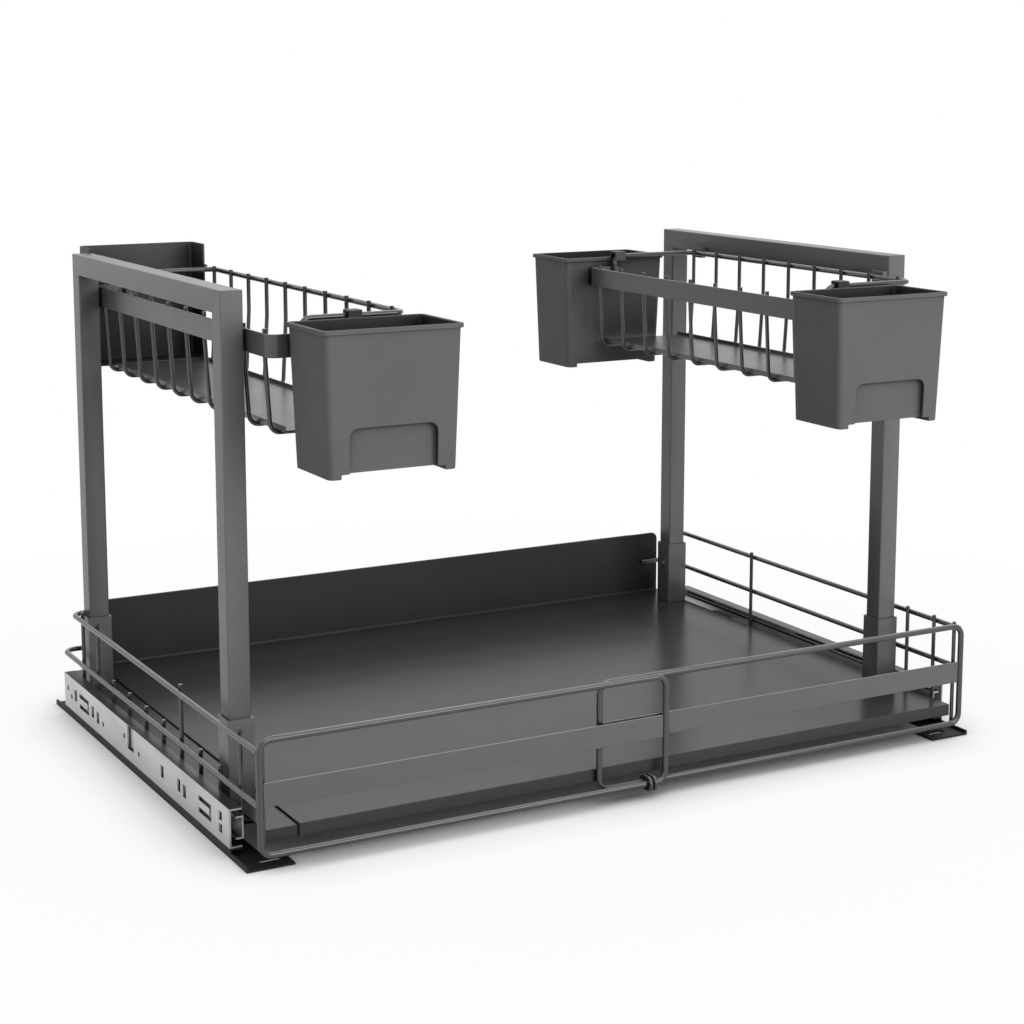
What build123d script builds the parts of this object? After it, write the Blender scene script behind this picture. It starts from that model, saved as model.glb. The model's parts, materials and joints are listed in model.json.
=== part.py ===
from build123d import *
import math
import os

# Pull-out organizer for the cabinet under a sink: a telescoping tray on ball slides, two tube
# frames that stand on it, a wire basket inside each frame and hanging bins at the basket ends.
#
# While it is drawn, x = 0 is the outer face of the left posts, y = 0 the front face of the
# front posts and z = 0 the top of the tray floor. When a piece is written it is moved so that
# the origin lies on the cabinet floor, in the middle of the whole footprint.
# Pieces of the right half are drawn on the left and mirrored. All lengths are millimetres.

# Overall layout
outer_width = 566.0
post_depth_span = 322.0
frame_height = 344.4
cabinet_floor_drop = 26.0

# Square tube frames
tube_side = 16.0
tube_wall = 1.2
sleeve_wall = 1.5
sleeve_fit = 0.1
sleeve_height = 54.4

# Small screws that lock the posts in their sleeves
screw_height = 36.0
screw_shank_radius = 1.5
screw_head_radius = 3.0
screw_head_thickness = 1.8
screw_hole_clearance = 0.1
screw_reach = 4.0
screw_recess_radius = 1.2
screw_recess_depth = 1.0

# Tray sheets
sheet = 1.2
floor_front = -67.2
floor_lip_height = 9.0
floor_lip_run = 1.6
floor_rear = 352.6
sheet_gap = 0.2
weld_gap = 0.05
back_plate_bead = 2.2
seam_gap = 4.0
sheet_overlap_end = 26.0
back_plate_height = 55.3
back_plate_corner = 6.0
left_plate_start = 14.0

# Side rails and cross wires of the tray
rail_radius = 2.0
rail_offset = 8.6
left_upper_rail_height = 54.2
left_lower_rail_height = 17.6
right_upper_rail_height = 60.0
right_lower_rail_height = 29.0
rail_bend = 10.0
rail_inner_reach = 14.0
lower_rail_inner_reach = 27.0
cross_wire_radius = 1.5
left_wire_first = -33.0
left_wire_pitch = 38.0
left_wire_count = 10
right_wire_places = (-42.0, -10.0, 205.0)
cross_wire_run = 232.0
cross_wire_bend = 3.3
cross_wire_land = 1.0
left_tall_wires = (0, 3, 8, 9)
right_tall_wires = (0, 1, 2)
wire_tip = 3.0
corner_wire_setback = 4.1

# Front guard frames
guard_wire_radius = 2.25
guard_front = -74.8
guard_top = 62.6
guard_bottom = -15.0
guard_corner = 8.0
left_guard_past_middle = 17.6
right_guard_past_middle = 34.4
guard_gap = 0.5
guard_band_height = 16.5
guard_band_top = 34.1
guard_band_thickness = 1.2
clip_wire_radius = 1.5
clip_clearance = 0.3
clip_pitch = 4.0
clip_count = 2

# Ball slides
slide_rear = 324.0
slide_length = 365.0
slide_height = 27.0
slide_thickness = 10.0
slide_centre_height = -5.85
slide_sheet = 1.2
slide_side_gap = 0.5
ball_radius = 0.75
ball_clearance = 0.05
ball_pitch = 12.0
ball_count = 10
ball_rear_inset = 50.0
cage_sheet = 0.5
middle_web_gap = 0.9
middle_short = 30.0
inner_flange_depth = 5.4
inner_play = 0.5

# Punched holes of the slide's outer face
punch_slot_width = 6.0
punch_slot_height = 9.0
punch_notch_width = 14.0
punch_notch_height = 18.0
punch_tab_width = 24.0
punch_tab_height = 12.0
punch_tab_cut = 3.5
punch_hole_radius = 2.0
punch_square = 6.0

# Where the punched holes lie: shares of the slide's length from the rear, and of its height
slot_shares = [(0.08, 0.55), (0.2, 0.5), (0.235, 0.45), (0.64, 0.5), (0.735, 0.52), (0.765, 0.48)]
hole_shares = [(0.025, 0.6), (0.05, 0.42), (0.27, 0.4), (0.41, 0.6), (0.5, 0.42)]
square_shares = [(0.955, 0.66), (0.955, 0.34)]
tab_shares = [(0.14, 0.5), (0.875, 0.5)]
notch_share = (0.45, 0.66)

# Base rails under the slides
base_sheet = 1.5
base_flange_depth = 20.0
foot_reach = 34.0
foot_length = 26.0
foot_front_reach = 30.0
foot_rear_reach = 26.0
foot_slot_length = 17.0
foot_slot_width = 5.0
foot_slot_margin = 4.4

# Cross bars between the base rails
bar_width = 18.0
bar_height = 8.0
bar_wall = 1.0
bar_fit = 0.1
bar_overlap = 90.0
bar_inset = 60.0
rivet_radius = 2.0
rivet_head_radius = 3.5
rivet_head_height = 1.0
rivet_inset = 5.0
rivet_clearance = 0.1

# Brackets from the slides to the tray
bracket_sheet = 1.5
bracket_width = 24.0
bracket_leg = 20.0
bracket_places = (24.0, 252.0)

# Baskets
band_height = 15.5
band_thickness = 1.5
band_corner = 7.0
band_end_reach = 30.0
band_drop = 9.9
basket_rail_drop = 16.9
basket_rail_inset = 6.0
basket_rail_radius = 2.0
basket_wire_radius = 1.5
basket_wire_margin = 14.0
basket_wire_bend = 7.0
basket_wire_tip = 2.5
basket_floor_drop = 89.4
basket_floor_edge = 3.0
basket_floor_inset = 4.6
basket_taper = 3.0
basket_bend_land = 1.0
loop_clearance = 0.05
basket_rail_tip = 1.5
left_tube_to_basket = 2.0
right_tube_to_basket = 5.0
left_basket_wire_count = 10
right_basket_wire_count = 9
left_basket_width = 100.0
right_basket_width = 105.0
basket_front = -38.0
left_basket_rear = 322.0
right_basket_rear = 270.0
basket_pad_width = 8.0
basket_bracket_width = 14.0
basket_bracket_height = 8.0
basket_bracket_rise = 4.0
basket_bracket_inset = 10.0

# Hanging bins
bin_width = 100.0
bin_depth = 62.0
bin_height = 95.0
bin_wall = 1.8
bin_corner = 4.5
bin_least_corner = 1.0
bin_draft_share = 0.93
bin_rim_width = 1.4
bin_rim_height = 3.0
bin_gap = 0.35
bin_foot_height = 3.0
bin_foot_length = 12.0
bin_relief_depth = 4.0
bin_relief_height = 32.0
bin_relief_width = 62.0
bin_relief_corner = 6.0
bin_hook_width = 10.0
bin_hook_rise = 5.0
bin_hook_drop = 6.0
bin_hook_clearance = 0.3
end_panel_depth = 28.0
left_bin_start = 28.6
front_right_bin_inset = 39.8
rear_right_bin_inset = 48.0
end_panel_start = 14.0
end_panel_width = 96.0
end_panel_rise = 3.6

# One overrun for every cut
overrun = 5.0

# Values that follow from the sizes above
middle = outer_width / 2
rail_x = -rail_offset
sleeve_inner = tube_side + 2 * sleeve_fit
sleeve_outer = sleeve_inner + 2 * sleeve_wall
sleeve_proud = sleeve_fit + sleeve_wall
rear_post_y = post_depth_span - tube_side
left_stand = -sheet - sheet_gap
floor_side = -sleeve_proud
left_floor_front = floor_front + floor_lip_run + sheet_gap
left_plate_front = floor_rear + sheet + sheet_gap
seam_x = sleeve_outer - sleeve_proud + seam_gap
wire_x = rail_x + rail_radius + cross_wire_radius
cross_wire_z = left_stand - sheet - cross_wire_radius - weld_gap
right_cross_wire_z = cross_wire_z - bin_gap
right_guard_place = guard_front + 2 * guard_wire_radius + guard_gap
slide_inner_x = wire_x - cross_wire_radius - slide_side_gap
slide_outer_x = slide_inner_x - slide_thickness
punch_end = slide_outer_x + slide_sheet + middle_web_gap / 2
slide_front = slide_rear - slide_length
foot_front = slide_front - foot_front_reach
foot_rear = slide_rear + foot_rear_reach
slide_top = slide_centre_height + slide_height / 2
slide_bottom = slide_top - slide_height
base_bottom = -cabinet_floor_drop
rail_z = frame_height - basket_rail_drop
band_top = frame_height - tube_side - band_drop
band_bottom = band_top - band_height
wire_reach = basket_rail_radius + basket_wire_radius + loop_clearance
basket_floor_height = frame_height - basket_floor_drop
basket_wire_z = basket_floor_height - sheet - basket_wire_radius
hook_top = rail_z + basket_rail_radius + bin_hook_clearance + bin_wall
bin_top = hook_top - bin_hook_rise
bin_bottom = bin_top - bin_height
front_bin_rear = basket_front - bin_gap
rear_bin_front = right_basket_rear + bin_gap
panel_front = left_basket_rear + bin_gap
left_basket_start = tube_side + left_tube_to_basket
right_basket_start = outer_width - tube_side - right_tube_to_basket - right_basket_width
front_right_bin_start = outer_width - front_right_bin_inset - bin_width
rear_right_bin_start = outer_width - rear_right_bin_inset - bin_width
end_panel_top = frame_height + end_panel_rise
end_panel_bottom = basket_floor_height - sheet
footprint_front = front_bin_rear - bin_depth
footprint_rear = left_plate_front + sheet
placing = Pos(-middle, -(footprint_front + footprint_rear) / 2, cabinet_floor_drop)


def save(shape, name):
    # Writes one piece in the part's own frame
    placed = placing * shape
    export_step(placed, "parts/" + name + ".step")


def group(solids):
    # Several like pieces that stay separate solids
    return Compound(children=[part.solid() for part in solids])


def mirrored(shape):
    # The same piece on the other side of the tray
    return mirror(shape, about=Plane.YZ.offset(middle))


def slab(x_range, y_range, z_range):
    # A box between two places along each axis
    sizes = [high - low for low, high in (x_range, y_range, z_range)]
    centre = [(high + low) / 2 for low, high in (x_range, y_range, z_range)]
    return Pos(*centre) * Box(*sizes)


def rod(start, end, radius):
    # A straight round wire between two points
    run = Vector(*end) - Vector(*start)
    return Plane(origin=start, z_dir=run) * Cylinder(
        radius, run.length, align=(Align.CENTER, Align.CENTER, Align.MIN)
    )


def bent_wire(points, radius, bend, closed=False):
    # A round wire along a path whose corners are rounded
    path = FilletPolyline(*points, radius=bend, close=closed)
    section = Plane(origin=path @ 0, z_dir=path % 0) * Circle(radius)
    return sweep(section, path=path)


def tube_piece(outline, bore_outline):
    # A square tube piece from its outline and its bore, drawn as (y, z) points and extruded along x
    outer = extrude(Plane.YZ * make_face(Polyline(*outline, close=True)), tube_side)
    bore_face = Plane.YZ.offset(tube_wall) * make_face(Polyline(*bore_outline, close=True))
    return outer - extrude(bore_face, tube_side - 2 * tube_wall)


def post(stand, outer_edge, inner_edge):
    # An upright tube, mitred at the top so that its outer edge is the longer one
    step = math.copysign(tube_wall, inner_edge - outer_edge)
    low = frame_height - tube_side
    outline = [(outer_edge, stand), (inner_edge, stand), (inner_edge, low), (outer_edge, frame_height)]
    bore = [
        (outer_edge + step, stand - overrun),
        (inner_edge - step, stand - overrun),
        (inner_edge - step, low + tube_wall),
        (outer_edge + step, frame_height - tube_wall),
    ]
    return tube_piece(outline, bore)


def beam():
    # The top tube from front to rear, mitred at both ends
    low = frame_height - tube_side
    outline = [
        (0, frame_height),
        (tube_side, low),
        (post_depth_span - tube_side, low),
        (post_depth_span, frame_height),
    ]
    bore = [
        (tube_wall, frame_height - tube_wall),
        (tube_side - tube_wall, low + tube_wall),
        (post_depth_span - tube_side + tube_wall, low + tube_wall),
        (post_depth_span - tube_wall, frame_height - tube_wall),
    ]
    return tube_piece(outline, bore)


def screw_hole(post_y, length):
    # The hole for the locking screw, through the sleeve and the post towards the middle
    centre_y = post_y + tube_side / 2
    start = tube_side + sleeve_proud + overrun
    return rod(
        (start, centre_y, screw_height),
        (start - length, centre_y, screw_height),
        screw_shank_radius + screw_hole_clearance,
    )


def sleeve(post_y, stand):
    # The socket that a post stands in
    low = -sleeve_proud
    high = tube_side + sleeve_proud
    outer = slab((low, high), (post_y + low, post_y + high), (stand, sleeve_height))
    bore = slab(
        (-sleeve_fit, tube_side + sleeve_fit),
        (post_y - sleeve_fit, post_y + tube_side + sleeve_fit),
        (stand - overrun, sleeve_height + overrun),
    )
    return outer - bore - screw_hole(post_y, tube_side)


def sleeve_screw(post_y):
    # A pan head screw from the middle side, with a cross recess
    centre_y = post_y + tube_side / 2
    seat = tube_side + sleeve_proud
    tip = seat - screw_reach
    shank = rod((seat, centre_y, screw_height), (tip, centre_y, screw_height), screw_shank_radius)
    head = rod(
        (seat, centre_y, screw_height),
        (seat + screw_head_thickness, centre_y, screw_height),
        screw_head_radius,
    )
    recess = rod(
        (seat + screw_head_thickness - screw_recess_depth, centre_y, screw_height),
        (seat + screw_head_thickness + overrun, centre_y, screw_height),
        screw_recess_radius,
    )
    return shank + head - recess


def tray_floor(x_range, y_range, top):
    # A flat sheet with a lip turned down at the front
    front = y_range[0]
    panel = slab(x_range, y_range, (top - sheet, top))
    lip = slab(x_range, (front, front + floor_lip_run), (-floor_lip_height, top))
    return panel + lip


def back_plate(x_range, front, foot):
    # The upright sheet behind the floor, with rounded top corners
    plate = slab(x_range, (front, front + sheet), (foot, back_plate_height))
    corners = plate.edges().filter_by(Axis.Y).group_by(Axis.Z)[-1]
    return fillet(corners, back_plate_corner)


def bead(x_range, front):
    # The hollow bend that runs along the foot of the back plate
    start, end = x_range
    edge = front - back_plate_bead
    strip = slab(x_range, (edge, front), (0, back_plate_bead))
    rise = back_plate_bead
    hollow = rod((start - overrun, edge, rise), (end + overrun, edge, rise), back_plate_bead)
    return strip - hollow


def upper_rail(guard_place, height):
    # Runs outside the posts and turns in behind the rear sleeve
    behind = rear_post_y + tube_side + sleeve_proud + rail_radius + loop_clearance
    front = guard_place + guard_wire_radius + loop_clearance
    return bent_wire(
        [
            (rail_x, front, height),
            (rail_x, behind, height),
            (rail_x + rail_inner_reach, behind, height),
        ],
        rail_radius,
        rail_bend,
    )


def lower_rail(guard_place, plate_front, height):
    # Runs below the upper rail and turns in to the back plate
    behind = plate_front - rail_radius - loop_clearance
    front = guard_place + guard_wire_radius + loop_clearance
    return bent_wire(
        [
            (rail_x, front, height),
            (rail_x, behind, height),
            (rail_x + lower_rail_inner_reach, behind, height),
        ],
        rail_radius,
        rail_bend,
    )


def left_wire_places():
    return [left_wire_first + number * left_wire_pitch for number in range(left_wire_count)]


def cross_wires(places, depth):
    # The straight wires under the tray floor
    start = wire_x + cross_wire_bend + cross_wire_land
    return group(
        [
            rod((start, place, depth), (start + cross_wire_run, place, depth), cross_wire_radius)
            for place in places
        ]
    )


def side_wires(places, tall_wires, rail_heights, depth, guard_place):
    # The turned-up ends of the cross wires, welded to the rails, and the upright behind the guard's end
    land_x = wire_x + cross_wire_bend + cross_wire_land
    upper_height, lower_height = rail_heights
    tall_tip = upper_height + rail_radius + wire_tip
    short_tip = lower_height + rail_radius + wire_tip
    wires = []
    for number, place in enumerate(places):
        tip = tall_tip if number in tall_wires else short_tip
        points = [(wire_x, place, tip), (wire_x, place, depth), (land_x, place, depth)]
        wires.append(bent_wire(points, cross_wire_radius, cross_wire_bend))
    corner_place = guard_place + corner_wire_setback
    foot_point = (wire_x, corner_place, guard_bottom)
    wires.append(rod(foot_point, (wire_x, corner_place, tall_tip), cross_wire_radius))
    return group(wires)


def guard_loop(start_x, end_x, place):
    # A closed wire frame with rounded corners
    corners = [
        (end_x, place, guard_top),
        (end_x, place, guard_bottom),
        (start_x, place, guard_bottom),
        (start_x, place, guard_top),
    ]
    return bent_wire(corners, guard_wire_radius, guard_corner, closed=True)


def guard_band(start_x, end_x, place):
    # The flat strip between the two ends of the wire frame
    return slab(
        (start_x + guard_wire_radius, end_x - guard_wire_radius),
        (place - guard_band_thickness / 2, place + guard_band_thickness / 2),
        (guard_band_top - guard_band_height, guard_band_top),
    )


def frame_clip(place_x):
    # A wire ring around the lower wires of both front guards
    front = guard_front
    rear = right_guard_place
    reach = guard_wire_radius + clip_wire_radius + clip_clearance
    path = [
        (place_x, rear + reach, guard_bottom + reach),
        (place_x, rear + reach, guard_bottom - reach),
        (place_x, front - reach, guard_bottom - reach),
        (place_x, front - reach, guard_bottom + reach),
    ]
    return bent_wire(path, clip_wire_radius, reach - loop_clearance, closed=True)


def channel(web_x, depth, half_height, length_range, direction):
    # A C-shaped slide member: web, and flanges that reach along x in the given direction
    web = slab(
        sorted((web_x, web_x + direction * slide_sheet)),
        length_range,
        (slide_centre_height - half_height, slide_centre_height + half_height),
    )
    flange_x = sorted((web_x, web_x + direction * depth))
    upper = slab(
        flange_x,
        length_range,
        (slide_centre_height + half_height - slide_sheet, slide_centre_height + half_height),
    )
    lower = slab(
        flange_x,
        length_range,
        (slide_centre_height - half_height, slide_centre_height - half_height + slide_sheet),
    )
    return web + upper + lower


def punch(share, low_share, width, height):
    # A rectangular punched hole in the slide's outer face
    centre_y = slide_rear - share * slide_length
    centre_z = slide_bottom + low_share * slide_height
    return slab(
        (slide_outer_x - overrun, punch_end),
        (centre_y - width / 2, centre_y + width / 2),
        (centre_z - height / 2, centre_z + height / 2),
    )


def round_punch(share, low_share):
    # A round punched hole in the slide's outer face
    centre_y = slide_rear - share * slide_length
    centre_z = slide_bottom + low_share * slide_height
    return rod(
        (slide_outer_x - overrun, centre_y, centre_z),
        (punch_end, centre_y, centre_z),
        punch_hole_radius,
    )


def tab_punch(share, low_share):
    # A C-shaped cut around a tab
    centre_y = slide_rear - share * slide_length
    centre_z = slide_bottom + low_share * slide_height
    cut = punch(share, low_share, punch_tab_width, punch_tab_height)
    tab = slab(
        (slide_outer_x - 2 * overrun, slide_outer_x + 2 * overrun),
        (centre_y - punch_tab_width / 2 + punch_tab_cut, centre_y + punch_tab_width),
        (centre_z - punch_tab_height / 2 + punch_tab_cut, centre_z + punch_tab_height / 2 - punch_tab_cut),
    )
    return cut - tab


def slide_outer():
    # The member that stays in the cabinet, with its punched outer face
    member = channel(
        slide_outer_x,
        slide_thickness - slide_sheet,
        slide_height / 2,
        (slide_front, slide_rear),
        1,
    )
    for share, low_share in slot_shares:
        member = member - punch(share, low_share, punch_slot_width, punch_slot_height)
    for share, low_share in hole_shares:
        member = member - round_punch(share, low_share)
    for share, low_share in square_shares:
        member = member - punch(share, low_share, punch_square, punch_square)
    for share, low_share in tab_shares:
        member = member - tab_punch(share, low_share)
    member = member - punch(*notch_share, punch_notch_width, punch_notch_height)
    return member


def middle_half_height():
    return slide_height / 2 - slide_sheet - 2 * (ball_radius + ball_clearance)


def inner_half_height():
    return middle_half_height() - slide_sheet - 2 * (ball_radius + ball_clearance)


def slide_middle():
    # The member between the fixed and the moving one
    web_x = slide_outer_x + slide_sheet + middle_web_gap
    depth = slide_thickness - slide_sheet - middle_web_gap - inner_play
    return channel(web_x, depth, middle_half_height(), (slide_front + middle_short, slide_rear), 1)


def slide_inner():
    # The member that carries the tray
    return channel(slide_inner_x, inner_flange_depth, inner_half_height(), (slide_front, slide_rear), -1)


def ball_cage(track, side, first):
    # A sheet strip with the balls that run in one track
    ball_x = slide_outer_x + slide_sheet + middle_web_gap + slide_thickness / 2
    height = slide_centre_height + side * track
    strip = slab(
        (ball_x - 2 * ball_radius, ball_x + 2 * ball_radius),
        (first - ball_pitch / 2, first + (ball_count - 1 / 2) * ball_pitch),
        (height - cage_sheet / 2, height + cage_sheet / 2),
    )
    for number in range(ball_count):
        strip = strip + Pos(ball_x, first + number * ball_pitch, height) * Sphere(ball_radius)
    return strip


def ball_cages():
    # The balls between the fixed and the middle member lie to the rear, the others to the front,
    # so that both sets stay in their tracks when the slide is pulled out
    gap = ball_radius + ball_clearance
    rear_start = slide_rear - ball_rear_inset - ball_count * ball_pitch
    front_start = slide_front + middle_short + ball_pitch
    cages = []
    for side in (1, -1):
        cages.append(ball_cage(middle_half_height() + gap, side, rear_start))
        cages.append(ball_cage(inner_half_height() + gap, side, front_start))
    return group(cages)


def foot(edge_y, direction):
    # A floor tab at one end of the rail
    far_y = edge_y + direction * foot_length
    return slab(
        (slide_outer_x, slide_outer_x + foot_reach),
        sorted((edge_y, far_y)),
        (base_bottom, base_bottom + base_sheet),
    )


def foot_slot(edge_y, direction):
    # The screw slot across a foot and the flange beside it
    slot_x = slide_outer_x + foot_reach - foot_slot_margin - foot_slot_length / 2
    slot_y = edge_y + direction * foot_length / 2
    slot_shape = Pos(slot_x, slot_y, base_bottom - overrun) * SlotOverall(foot_slot_length, foot_slot_width)
    return extrude(slot_shape, base_sheet + 2 * overrun)


def base_rail():
    # A folded rail under the slide: shelf, web and floor flange, with a slotted foot at each end
    length_range = (foot_front, foot_rear)
    shelf = slab(
        (slide_outer_x, slide_outer_x + slide_thickness - slide_sheet),
        (slide_front, slide_rear),
        (slide_bottom - base_sheet, slide_bottom),
    )
    web = slab((slide_outer_x, slide_outer_x + base_sheet), length_range, (base_bottom, slide_bottom))
    end_trim = slab(
        (slide_outer_x - overrun, slide_outer_x + overrun),
        (foot_front - overrun, slide_front),
        (slide_bottom - base_sheet - base_sheet, slide_bottom + overrun),
    )
    rear_trim = slab(
        (slide_outer_x - overrun, slide_outer_x + overrun),
        (slide_rear, foot_rear + overrun),
        (slide_bottom - base_sheet - base_sheet, slide_bottom + overrun),
    )
    flange = slab(
        (slide_outer_x, slide_outer_x + base_flange_depth),
        length_range,
        (base_bottom, base_bottom + base_sheet),
    )
    rail = shelf + (web - end_trim - rear_trim) + flange + foot(foot_front, 1) + foot(foot_rear, -1)
    return rail - foot_slot(foot_front, 1) - foot_slot(foot_rear, -1)


def bracket(place, under):
    # An angle from the slide's inner member to the underside of the tray
    span = (place - bracket_width / 2, place + bracket_width / 2)
    low = slide_centre_height - inner_half_height()
    leg = slab((slide_inner_x, slide_inner_x + bracket_sheet), span, (low, under))
    shelf = slab((slide_inner_x, slide_inner_x + bracket_leg), span, (under - bracket_sheet, under))
    return leg + shelf


def brackets(under):
    # Two angles on each side of the tray
    return group([bracket(place, under) for place in bracket_places])


def bar_places():
    # The cross bars' middle lines
    return (slide_front + bar_inset, slide_rear - bar_inset)


def rivet_hole(x, y):
    return rod(
        (x, y, base_bottom - overrun),
        (x, y, base_bottom + base_sheet + bar_height + overrun),
        rivet_radius + rivet_clearance,
    )


def rivet(x, y):
    # A rivet through the bar's end and the rail's flange
    top = base_bottom + base_sheet + bar_height
    shank = rod((x, y, base_bottom), (x, y, top), rivet_radius)
    head = rod((x, y, top), (x, y, top + rivet_head_height), rivet_head_radius)
    return shank + head


def rivets():
    x = slide_inner_x + rivet_inset
    return group([rivet(x, y) for y in bar_places()])


def outer_bar(y):
    # The wider bar, fixed to the left rail
    low = base_bottom + base_sheet
    end = middle + bar_overlap / 2
    tube = slab((slide_inner_x, end), (y - bar_width / 2, y + bar_width / 2), (low, low + bar_height))
    bore = slab(
        (slide_inner_x - overrun, end + overrun),
        (y - bar_width / 2 + bar_wall, y + bar_width / 2 - bar_wall),
        (low + bar_wall, low + bar_height - bar_wall),
    )
    return tube - bore - rivet_hole(slide_inner_x + rivet_inset, y)


def inner_bar(y):
    # The narrower bar, fixed to the right rail, that slides inside the wider one
    low = base_bottom + base_sheet
    inset = bar_wall + bar_fit
    start = middle - bar_overlap / 2
    end = outer_width - slide_inner_x
    tube = slab(
        (start, end),
        (y - bar_width / 2 + inset, y + bar_width / 2 - inset),
        (low + inset, low + bar_height - inset),
    )
    bore = slab(
        (start - overrun, end + overrun),
        (y - bar_width / 2 + inset + bar_wall, y + bar_width / 2 - inset - bar_wall),
        (low + inset + bar_wall, low + bar_height - inset - bar_wall),
    )
    seat_start = end - 2 * rivet_inset
    seat = slab(
        (seat_start, end),
        (y - bar_width / 2 + inset, y + bar_width / 2 - inset),
        (low, low + inset),
    )
    cap = slab(
        (seat_start, end),
        (y - bar_width / 2 + inset, y + bar_width / 2 - inset),
        (low + bar_height - inset, low + bar_height),
    )
    return tube - bore + seat + cap - mirrored(rivet_hole(slide_inner_x + rivet_inset, y))


def basket_band(start, rear):
    # A flat strip along the side away from the rail, wrapped round both ends
    outer = slab((start, start + band_end_reach), (basket_front, rear), (band_bottom, band_top))
    outer = fillet(outer.edges().filter_by(Axis.Z).group_by(Axis.X)[0], band_corner)
    inner = slab(
        (start + band_thickness, start + band_end_reach + overrun),
        (basket_front + band_thickness, rear - band_thickness),
        (band_bottom - overrun, band_top + overrun),
    )
    inner = fillet(inner.edges().filter_by(Axis.Z).group_by(Axis.X)[0], band_corner - band_thickness)
    return outer - inner


def basket_rail_x(start, width):
    return start + width - basket_rail_radius


def basket_rail(start, width, rear):
    # The top wire: along the side away from the band, across both ends, and down onto the band's ends
    end_x = start + band_end_reach - basket_rail_inset
    side_x = basket_rail_x(start, width)
    front_y = basket_front + band_thickness + basket_rail_radius + loop_clearance
    rear_y = rear - band_thickness - basket_rail_radius - loop_clearance
    return bent_wire(
        [
            (end_x, front_y, band_bottom),
            (end_x, front_y, rail_z),
            (side_x, front_y, rail_z),
            (side_x, rear_y, rail_z),
            (end_x, rear_y, rail_z),
            (end_x, rear_y, band_bottom),
        ],
        basket_rail_radius,
        basket_wire_bend,
    )


def basket_places(rear, count):
    # The wires' places along the basket
    first = basket_front + basket_wire_margin
    pitch = (rear - basket_front - 2 * basket_wire_margin) / (count - 1)
    return [first + number * pitch for number in range(count)]


def band_side_x(start):
    # The wire's middle line against the inside of the band
    return start + band_thickness + basket_wire_radius + loop_clearance


def rail_side_x(start, width):
    # The wire's middle line against the inside of the rail
    return basket_rail_x(start, width) - wire_reach


def band_side_wires(start, rear, count):
    # From above the band down to the bend below the floor
    top_x = band_side_x(start)
    low_x = top_x + basket_taper
    end_x = low_x + basket_wire_bend + basket_bend_land
    wires = []
    for y in basket_places(rear, count):
        points = [
            (top_x, y, band_top + basket_wire_tip),
            (top_x, y, band_bottom),
            (low_x, y, basket_wire_z),
            (end_x, y, basket_wire_z),
        ]
        wires.append(bent_wire(points, basket_wire_radius, basket_wire_bend))
    return group(wires)


def floor_wires(start, width, rear, count):
    # The straight stretches under the basket's floor
    land = basket_taper + basket_wire_bend + basket_bend_land
    left = band_side_x(start) + land
    right = rail_side_x(start, width) - land
    return group(
        [
            rod((left, y, basket_wire_z), (right, y, basket_wire_z), basket_wire_radius)
            for y in basket_places(rear, count)
        ]
    )


def rail_side_wires(start, width, rear, count):
    # From the bend below the floor up along the inside of the rail, to a tip just above it
    top_x = rail_side_x(start, width)
    low_x = top_x - basket_taper
    end_x = low_x - basket_wire_bend - basket_bend_land
    wires = []
    for y in basket_places(rear, count):
        points = [
            (end_x, y, basket_wire_z),
            (low_x, y, basket_wire_z),
            (top_x, y, band_bottom),
            (top_x, y, rail_z + basket_rail_radius + basket_rail_tip),
        ]
        wires.append(bent_wire(points, basket_wire_radius, basket_wire_bend))
    return group(wires)


def basket_floor(start, width, rear):
    # The sheet on the wires, with its long edges turned up
    left = band_side_x(start) + basket_taper + basket_floor_inset
    right = rail_side_x(start, width) - basket_taper - basket_floor_inset
    low = basket_floor_height - sheet
    y_range = (basket_front + band_thickness, rear - band_thickness)
    panel = slab((left, right), y_range, (low, basket_floor_height))
    edge_range = (low, basket_floor_height + basket_floor_edge)
    left_edge = slab((left, left + sheet), y_range, edge_range)
    right_edge = slab((right - sheet, right), y_range, edge_range)
    return panel + left_edge + right_edge


def left_basket_pads():
    # Pads that join the band to the inner faces of the left posts
    pads = []
    for post_y in (0, rear_post_y):
        middle_y = post_y + tube_side / 2
        span = (middle_y - basket_pad_width / 2, middle_y + basket_pad_width / 2)
        pads.append(slab((tube_side, left_basket_start), span, (band_bottom, band_top)))
    return group(pads)


def right_basket_brackets():
    # Blocks that join the rail to the right frame, one at the front post and one at the basket's rear
    beam_face = outer_width - tube_side
    rail_face = basket_rail_x(right_basket_start, right_basket_width) + basket_rail_radius
    height_range = (rail_z - basket_bracket_height / 2, frame_height - tube_side + basket_bracket_rise)
    blocks = []
    for y in (tube_side / 2, right_basket_rear - basket_bracket_inset):
        span = (y - basket_bracket_width / 2, y + basket_bracket_width / 2)
        blocks.append(slab((rail_face, beam_face), span, height_range))
    return group(blocks)


def bin_block(inset, low, high):
    # The tapered block of a bin, drawn in by an inset all round, between two heights
    sections = []
    for height in (low, high):
        level_share = bin_draft_share + (1 - bin_draft_share) * (height - bin_bottom) / bin_height
        width = (bin_width - 2 * bin_rim_width) * level_share - 2 * inset
        depth = (bin_depth - 2 * bin_rim_width) * level_share - 2 * inset
        corner = max(bin_corner - inset, bin_least_corner)
        sections.append(Pos(0, 0, height) * RectangleRounded(width, depth, corner))
    return loft(sections)


def bin_feet():
    # Two feet along the sides, so that the front and rear edges lie higher between them
    block = bin_block(0, bin_bottom, bin_bottom + bin_foot_height)
    half_width = bin_width / 2 - bin_foot_length - bin_rim_width
    across = slab((-half_width, half_width), (-bin_depth, bin_depth), (bin_bottom - overrun, bin_top))
    return block - across


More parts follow.
